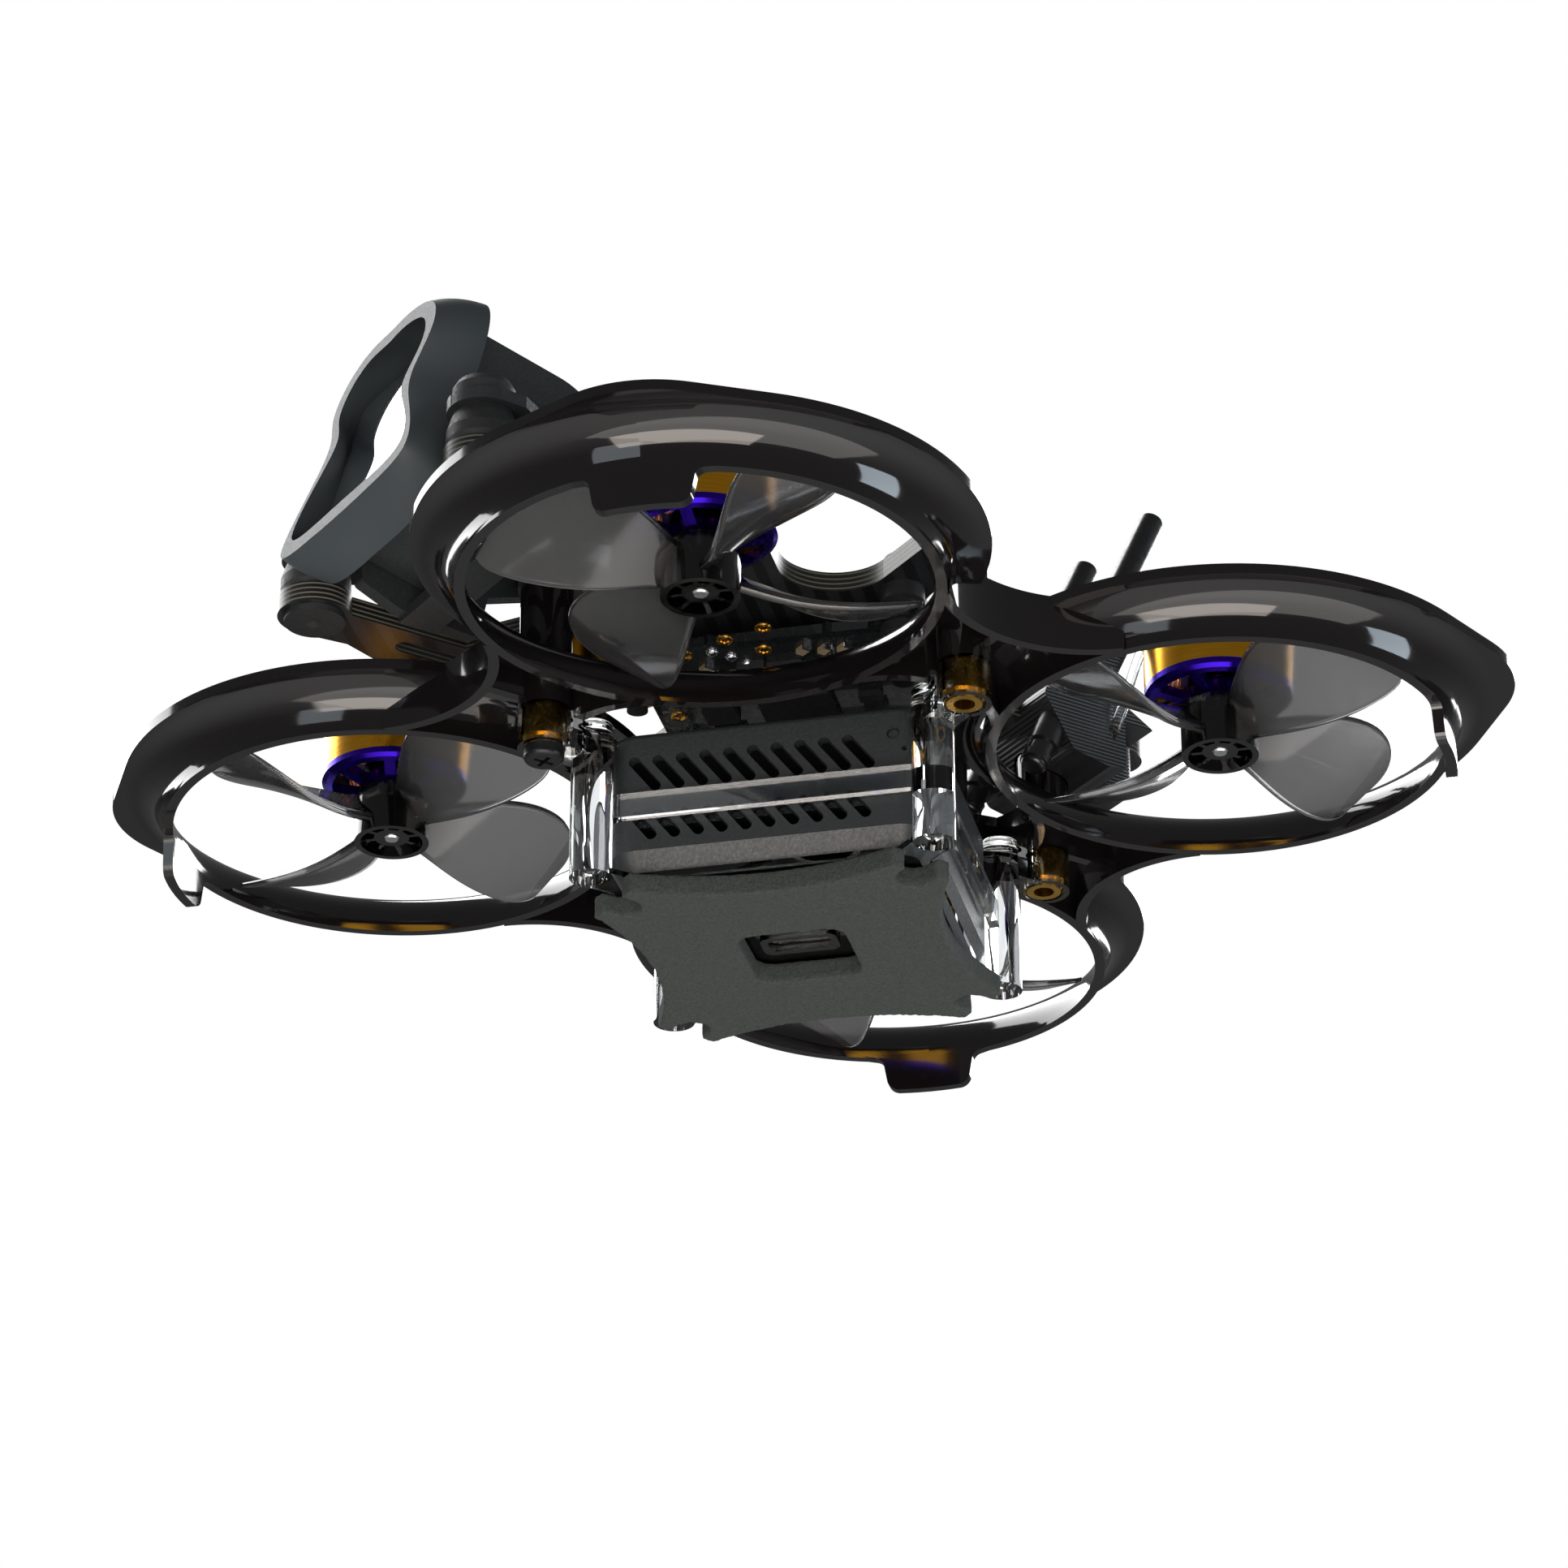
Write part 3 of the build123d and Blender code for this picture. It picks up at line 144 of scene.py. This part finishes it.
def grain(tree, shader, where, size, depth, low, high, detail=3.0):
    """Noise of one grain size, in metres, as bump and as a range of roughness."""
    noise = add_node(
        tree, "ShaderNodeTexNoise", {"Vector": where, "Scale": 1 / size, "Detail": detail, "Roughness": 0.55}
    )
    spread = add_node(
        tree, "ShaderNodeMapRange", {"Value": noise.outputs[0], "From Min": 0.3, "From Max": 0.7,
                                     "To Min": low, "To Max": high}
    )
    tree.links.new(spread.outputs[0], shader.inputs["Roughness"])
    bump = add_node(tree, "ShaderNodeBump", {"Height": noise.outputs[0], "Distance": depth, "Strength": 1.0})
    tree.links.new(bump.outputs[0], shader.inputs["Normal"])
    return noise


def clothe(material, *names):
    """Give CAD nodes one material."""
    for name in names:
        nodes[name].data.materials.clear()
        nodes[name].data.materials.append(material)


smoked, tree, shader, where = new_material(
    "smoked_polycarbonate", "#0d0b0c", 0.07, IOR=1.5, Transmission_Weight=0.08,
)
grain(tree, shader, where, 0.012, 0.00001, 0.05, 0.11, 1.0)
clothe(smoked, *[f"duct_{place}" for place in PLACES], *[f"bridge_{side}" for side in SIDES])

# ---- Main plate: 2 mm carbon laminate, cut by router ----
# The faces show diagonal bands of 1.6 mm tows, and the cut edges show the plies as fine lines.
TOW = 0.0016
PLY = 0.00025
WEAVE_DEPTH = 0.00002
carbon, tree, shader, where = new_material("carbon_laminate", "#15171a", 0.4)
split = add_node(tree, "ShaderNodeSeparateXYZ", {0: where})
diagonal = add_node(tree, "ShaderNodeMath", {0: split.outputs[0], 1: split.outputs[1]}, operation="ADD")
across = add_node(tree, "ShaderNodeMath", {0: diagonal.outputs[0], 1: 0.5 / TOW}, operation="MULTIPLY")
twill = add_node(tree, "ShaderNodeMath", {0: across.outputs[0]}, operation="FRACT")
step = add_node(tree, "ShaderNodeMath", {0: twill.outputs[0], 1: 0.5}, operation="GREATER_THAN")
plies = add_node(tree, "ShaderNodeMath", {0: split.outputs[2], 1: pi / PLY}, operation="MULTIPLY")
ply_wave = add_node(tree, "ShaderNodeMath", {0: plies.outputs[0]}, operation="SINE")
ply_line = add_node(
    tree, "ShaderNodeMapRange", {"Value": ply_wave.outputs[0], "From Min": 0.2, "From Max": 0.9}
)
geometry = add_node(tree, "ShaderNodeNewGeometry")
facing = add_node(tree, "ShaderNodeSeparateXYZ", {0: geometry.outputs["Normal"]})
upright = add_node(tree, "ShaderNodeMath", {0: facing.outputs[2]}, operation="ABSOLUTE")
is_edge = add_node(tree, "ShaderNodeMath", {0: upright.outputs[0], 1: 0.5}, operation="LESS_THAN")
weave = add_node(
    tree, "ShaderNodeMix", {"Factor": step.outputs[0], 6: linear("#0d0e10"), 7: linear("#1b1d20")},
    data_type="RGBA",
)
edge = add_node(
    tree, "ShaderNodeMix", {"Factor": ply_line.outputs[0], 6: linear("#0b0c0d"), 7: linear("#57564c")},
    data_type="RGBA",
)
both = add_node(
    tree, "ShaderNodeMix", {"Factor": is_edge.outputs[0], 6: weave.outputs[2], 7: edge.outputs[2]},
    data_type="RGBA",
)
tree.links.new(both.outputs[2], shader.inputs["Base Color"])
bump = add_node(tree, "ShaderNodeBump", {"Height": step.outputs[0], "Distance": WEAVE_DEPTH, "Strength": 0.5})
tree.links.new(bump.outputs[0], shader.inputs["Normal"])
clothe(carbon, "main_plate")

# ---- Motors: aluminium base, coated stator stack, enamelled copper, steel bearings ----
# The bases are black anodised, the stack shines through its coating in fine layers, and each coil
# is a few turns of thick wire round one tooth.
HALF = 0.0285                         # half the side of the square of motor axes
TEETH = 9
WIRE = 0.00042                        # pitch of the turns of a coil
RIDGE = 0.00012
COIL_R = 0.0037                       # distance of a coil's first turn from its motor's axis
COIL_Z = RIM_Z + 0.007325             # the turns stand just above the spinning cap
TURN_R = 0.00062
TURN_THICK = 0.0002
LAMINATION_SCALE = 2500.0             # bands of 0.13 mm
LAMINATION_DEPTH = 0.00003


def tint(tree, shader, factor, dark, light):
    """Vary the colour between two sRGB values by a factor."""
    ramp = add_node(tree, "ShaderNodeValToRGB", {"Fac": factor})
    ramp.color_ramp.elements[0].color = linear(dark)
    ramp.color_ramp.elements[1].color = linear(light)
    ramp.color_ramp.elements[0].position = 0.3
    ramp.color_ramp.elements[1].position = 0.7
    tree.links.new(ramp.outputs[0], shader.inputs["Base Color"])


def from_axis(tree, where):
    """Distance from the nearest of the four motor axes, in metres."""
    split = add_node(tree, "ShaderNodeSeparateXYZ", {0: where})
    fold_x = add_node(tree, "ShaderNodeMath", {0: split.outputs[0]}, operation="ABSOLUTE")
    fold_y = add_node(tree, "ShaderNodeMath", {0: split.outputs[1]}, operation="ABSOLUTE")
    from_x = add_node(tree, "ShaderNodeMath", {0: fold_x.outputs[0], 1: HALF}, operation="SUBTRACT")
    from_y = add_node(tree, "ShaderNodeMath", {0: fold_y.outputs[0], 1: HALF}, operation="SUBTRACT")
    flat = add_node(tree, "ShaderNodeCombineXYZ", {0: from_x.outputs[0], 1: from_y.outputs[0]})
    return add_node(tree, "ShaderNodeVectorMath", {0: flat.outputs[0]}, operation="LENGTH").outputs["Value"]


black_anodised, tree, shader, where = new_material("black_anodised", "#1c1c20", 0.3, Metallic=1.0)
grain(tree, shader, where, 0.0004, 0.000006, 0.25, 0.4)
clothe(black_anodised, "motor_bases", "lens_barrel")
stack, tree, shader, where = new_material("coated_laminations", "#2a1f4c", 0.4)
layers = add_node(tree, "ShaderNodeTexWave", {"Vector": where, "Scale": LAMINATION_SCALE},
                  bands_direction="Z")
bump = add_node(tree, "ShaderNodeBump", {"Height": layers.outputs[1], "Distance": LAMINATION_DEPTH})
tree.links.new(bump.outputs[0], shader.inputs["Normal"])
clothe(stack, "stator_cores")
copper, tree, shader, where = new_material("enamelled_copper", "#d98a5c", 0.34, Metallic=0.7)
turns = add_node(tree, "ShaderNodeMath", {0: from_axis(tree, where), 1: 2 * pi / WIRE}, operation="MULTIPLY")
wire_relief_and_painted_sheen = add_node(tree, "ShaderNodeMath", {0: turns.outputs[0]}, operation="SINE")
shade = add_node(tree, "ShaderNodeMapRange", {"Value": wire_relief_and_painted_sheen.outputs[0], "From Min": -1.0, "From Max": 1.0})
# Painted light: each turn's colour runs from dark in the grooves to pale on the crest, in step with the bump.
# This paints shade between the turns and a highlight on each wire.
tint(tree, shader, shade.outputs[0], "#a85a34", "#ffc09a")
bump = add_node(tree, "ShaderNodeBump", {"Height": shade.outputs[0], "Distance": RIDGE})
tree.links.new(bump.outputs[0], shader.inputs["Normal"])
clothe(copper, "motor_windings")
wound = []
for sx in (-1, 1):
    for sy in (-1, 1):
        for tooth in range(TEETH):
            angle = 2 * pi * tooth / TEETH
            for row in range(4):
                reach = COIL_R + row * WIRE
                bpy.ops.mesh.primitive_torus_add(
                    major_radius=TURN_R, minor_radius=TURN_THICK, major_segments=20, minor_segments=6,
                    location=(sx * HALF + reach * cos(angle), sy * HALF + reach * sin(angle), COIL_Z),
                    rotation=(0, pi / 2, angle),
                )
                wound.append(bpy.context.object)
for turn_of_wire in wound:
    turn_of_wire.select_set(True)
bpy.ops.object.join()
heads = bpy.context.object
bpy.ops.object.transform_apply(location=True, rotation=True, scale=True)
heads.name = "coil_heads"
heads.data.materials.append(copper)
bpy.ops.object.shade_smooth()
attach(heads, "airframe")
steel, tree, shader, where = new_material("ground_steel", "#c4c7cb", 0.22, Metallic=1.0)
grain(tree, shader, where, 0.0006, 0.000001, 0.16, 0.26)
clothe(steel, "motor_bearings", *[f"shaft_{place}" for place in PLACES])
nickel, tree, shader, where = new_material("nickel_magnet", "#8d8f94", 0.3, Metallic=1.0)
grain(tree, shader, where, 0.001, 0.000001, 0.25, 0.36)
clothe(nickel, *[f"magnets_{place}" for place in PLACES])
black_steel, tree, shader, where = new_material("black_oxide_steel", "#17181a", 0.35, Metallic=0.6)
grain(tree, shader, where, 0.0004, 0.000008, 0.28, 0.45)
clothe(black_steel, "motor_screws", "board_screws", "post_screws", "lower_screw", "camera_tilt_screws",
       "holder_screw")

# ---- Rotor bells: turned aluminium, the ring anodised gold and the cap purple ----
# Turning leaves faint rings one above another, and the cap keeps an even satin.
LATHE = (200, 200, 9000)              # noise per metre, fine along the axis only
LATHE_DEPTH = 0.000003
gold, tree, shader, where = new_material("gold_anodised", "#e0a020", 0.24, Metallic=1.0)
turning = add_node(tree, "ShaderNodeMapping", {"Vector": where, "Scale": LATHE})
lathe = add_node(tree, "ShaderNodeTexNoise", {"Vector": turning.outputs[0], "Scale": 1.0, "Detail": 2.0})
bump = add_node(tree, "ShaderNodeBump", {"Height": lathe.outputs[0], "Distance": LATHE_DEPTH})
tree.links.new(bump.outputs[0], shader.inputs["Normal"])
tint(tree, shader, lathe.outputs[0], "#d9971c", "#e9ab30")
clothe(gold, "capacitor", *[f"bell_ring_{place}" for place in PLACES])
purple, tree, shader, where = new_material("purple_anodised", "#3413a8", 0.28, Metallic=1.0)
grain(tree, shader, where, 0.001, 0.000002, 0.22, 0.32)
clothe(purple, *[f"bell_cap_{place}" for place in PLACES])

# ---- Propellers: four wide blades on a long hub, moulded in smoked polycarbonate ----
# Half a millimetre of smoked plastic passes light, so a blade is grey against the white, and the
# thick hub is all but black.
HUB_EDGE = 0.0034                     # the hub's radius, less its rounding
BLADE_THIN = 0.0075                   # radius at which a blade is thin enough to pass light
blade_smoke, tree, shader, where = new_material(
    "smoked_blade", "#4c4c4d", 0.1, IOR=1.5, Transmission_Weight=0.88,
)
outward = from_axis(tree, where)
thin = add_node(tree, "ShaderNodeMapRange", {"Value": outward, "From Min": HUB_EDGE, "From Max": BLADE_THIN})
smoke = add_node(
    tree, "ShaderNodeMix", {"Factor": thin.outputs[0], 6: linear("#0a0a0a"), 7: linear("#59595a")},
    data_type="RGBA",
)
tree.links.new(smoke.outputs[2], shader.inputs["Base Color"])
clothe(blade_smoke, *[f"propeller_{place}" for place in PLACES])

# ---- Bracket: clear moulded polycarbonate, with brass inserts pressed into its ears ----
# The mould is polished, so the plastic is glassy, and the turned brass keeps a soft shine.
clear, tree, shader, where = new_material(
    "clear_polycarbonate", "#eef2f4", 0.02, IOR=1.585, Transmission_Weight=1.0,
)
clothe(clear, "video_bracket", "receiver_tube")
brass, tree, shader, where = new_material("turned_brass", "#b8903c", 0.25, Metallic=1.0)
grain(tree, shader, where, 0.001, 0.000002, 0.2, 0.3)
clothe(brass, "post_inserts")

# ---- Foam landing pad: 2.25 mm open-cell foam, die cut and glued under the video unit ----
# The knife leaves soft edges and open cells, so the cut faces are dimpled all over.
FOAM_CELL = 0.00045
FOAM_VOXEL = 0.00026
FOAM_DIMPLE = 0.00016
bpy.ops.object.select_all(action="DESELECT")
nodes["foam_pad"].select_set(True)
bpy.context.view_layer.objects.active = nodes["foam_pad"]
bpy.ops.object.duplicate(linked=False)
pad = bpy.context.object
pad.name = "landing_foam"
pad.data = pad.data.copy()
remesh = pad.modifiers.new("cells", "REMESH")
remesh.mode = "VOXEL"
remesh.voxel_size = FOAM_VOXEL
soften = pad.modifiers.new("soften", "SMOOTH")
soften.iterations = 5
cells = bpy.data.textures.new("foam_cells", "CLOUDS")
cells.noise_scale = FOAM_CELL
dimple = pad.modifiers.new("dimple", "DISPLACE")
dimple.texture = cells
dimple.texture_coords = "LOCAL"
dimple.strength = FOAM_DIMPLE
dimple.mid_level = 0.8
for name in ("cells", "soften", "dimple"):
    bpy.ops.object.modifier_apply(modifier=name)
bpy.ops.object.shade_smooth()
foam, tree, shader, where = new_material("open_cell_foam", "#1f2322", 0.95)
noise = grain(tree, shader, where, 0.00022, 0.00012, 0.85, 1.0, 5.0)
tint(tree, shader, noise.outputs[0], "#141817", "#303634")
pad.data.materials.clear()
pad.data.materials.append(foam)
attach(pad, "airframe")
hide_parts("foam_pad")

# ---- Video unit and camera mouldings: spark-eroded black, and a satin slate hood ----
# The black ABS takes a fine leathery grain from its mould, and the hood a finer and duller one.
spark, tree, shader, where = new_material("spark_textured_black", "#1b1e20", 0.5)
grain(tree, shader, where, 0.0003, 0.00003, 0.42, 0.6, 3.0)
clothe(spark, "video_case", "video_lid", "link_button", "camera_cradle", "camera_body")
slate, tree, shader, where = new_material("satin_slate", "#31373a", 0.55, Specular_IOR_Level=0.25)
grain(tree, shader, where, 0.0003, 0.000006, 0.5, 0.6, 3.0)
clothe(slate, "camera_hood")

# ---- Circuit boards and their parts ----
# Glass and epoxy under glossy black solder mask, with matt moulded chip packages on it.
board, tree, shader, where = new_material("solder_mask", "#0d1012", 0.25, Coat_Weight=0.5)
grain(tree, shader, where, 0.0006, 0.00001, 0.18, 0.35)
clothe(board, "video_board", "flight_board")
chip, tree, shader, where = new_material("moulded_epoxy", "#1b1c1f", 0.55)
grain(tree, shader, where, 0.0002, 0.00001, 0.45, 0.65)
clothe(chip, "flight_components", "boot_button")

# ---- Flight board details: plated rings, solder fillets and small parts on the underside ----
# Gold over copper round the holes, tin at the joints, ceramic bodies with tin ends.
BOARD_UNDER = RIM_Z + 0.0094          # underside of the flight board
BEAD_R = 0.00062
CHIP_SINK = 0.0002
CHIP_TALL = 0.0007
RING_SPOTS = (
    (0.0074, -0.0130), (0.0077, -0.0089), (0.0113, -0.0112), (-0.0072, -0.0128), (-0.0078, -0.0088),
    (0.0028, -0.0146), (-0.0030, -0.0146),
)
SOLDER_SPOTS = (
    (0.0048, -0.0128), (0.0050, -0.0108), (0.0046, -0.0088), (-0.0046, -0.0126), (-0.0048, -0.0104),
    (0.0132, 0.0046), (0.0130, 0.0068), (-0.0132, 0.0046), (-0.0130, 0.0070),
)
PART_SPOTS = (
    (0.0100, -0.0060), (0.0112, -0.0044), (0.0100, -0.0028), (0.0124, -0.0030), (-0.0100, -0.0060),
    (-0.0112, -0.0044), (-0.0100, 0.0030), (0.0104, 0.0030), (0.0020, -0.0118), (-0.0018, -0.0118),
)
plated, tree, shader, where = new_material("plated_gold", "#d8a548", 0.22, Metallic=1.0)
grain(tree, shader, where, 0.0004, 0.000002, 0.18, 0.3)
tin, tree, shader, where = new_material("tin_solder", "#c9ccd0", 0.18, Metallic=1.0)
grain(tree, shader, where, 0.0005, 0.00001, 0.12, 0.28)
ceramic, tree, shader, where = new_material("ceramic_chip", "#8a7a62", 0.5)
grain(tree, shader, where, 0.0002, 0.000005, 0.42, 0.58)


def gather(name, finish, body):
    """Join the selected pieces into one, with its transforms applied, and make it ride on a body."""
    bpy.ops.object.join()
    made = bpy.context.object
    bpy.ops.object.transform_apply(location=True, rotation=True, scale=True)
    made.name = name
    made.data.materials.clear()
    made.data.materials.append(finish)
    bpy.ops.object.shade_smooth_by_angle(angle=radians(35))
    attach(made, body)


rings = []
for x, y in RING_SPOTS:
    bpy.ops.mesh.primitive_torus_add(
        major_radius=BEAD_R, minor_radius=0.00022, major_segments=24, minor_segments=8,
        location=(x, y, BOARD_UNDER)
    )
    rings.append(bpy.context.object)
for ring in rings:
    ring.select_set(True)
gather("plated_rings", plated, "airframe")
beads = []
for x, y in SOLDER_SPOTS:
    bpy.ops.mesh.primitive_uv_sphere_add(
        segments=16, ring_count=10, radius=BEAD_R, location=(x, y, BOARD_UNDER)
    )
    bpy.context.object.scale = (1.0, 1.0, 0.8)
    beads.append(bpy.context.object)
for bead in beads:
    bead.select_set(True)
gather("solder_fillets", tin, "airframe")
for kind, finish, length, width, reach in (("chip_bodies", ceramic, 0.0011, 0.0008, 0.0),
                                           ("chip_ends", tin, 0.0003, 0.00082, 0.0007)):
    blocks = []
    for x, y in PART_SPOTS:
        for side in (-1, 1):
            bpy.ops.mesh.primitive_cube_add(size=1, location=(x + side * reach, y, BOARD_UNDER - CHIP_SINK))
            bpy.context.object.scale = (length, width, CHIP_TALL)
            blocks.append(bpy.context.object)
            if not reach:
                break
    for block in blocks:
        block.select_set(True)
    gather(kind, finish, "airframe")

# ---- Silicone dampers and grommets ----
# Moulded in soft black rubber and pulled through their holes, with a dull, slightly dusty face.
rubber, tree, shader, where = new_material("black_silicone", "#16181a", 0.6)
grain(tree, shader, where, 0.0005, 0.00002, 0.5, 0.7)
clothe(rubber, "camera_dampers", "board_grommets")

# ---- Camera pane, antennas and printed holder ----
# The pane mirrors the sky, the antennas are in shrunk black sleeves, and the holder is printed in
# layers, drawn coarser than they are so that they show.
PRINT_SCALE = 800.0                   # bands of 0.39 mm
PRINT_DEPTH = 0.00005
pane, tree, shader, where = new_material("coated_pane", "#f4f6f8", 0.03, Metallic=1.0)
grain(tree, shader, where, 0.01, 0.000001, 0.02, 0.05, 1.0)
clothe(pane, "camera_glass")
sleeve, tree, shader, where = new_material("heat_shrink", "#121315", 0.3)
grain(tree, shader, where, 0.001, 0.00002, 0.24, 0.4)
clothe(sleeve, "antennas")
printed, tree, shader, where = new_material("printed_tpu", "#17181a", 0.4)
lines = add_node(tree, "ShaderNodeTexWave", {"Vector": where, "Scale": PRINT_SCALE}, bands_direction="Z")
bump = add_node(tree, "ShaderNodeBump", {"Height": lines.outputs[1], "Distance": PRINT_DEPTH})
tree.links.new(bump.outputs[0], shader.inputs["Normal"])
clothe(printed, "antenna_holder")
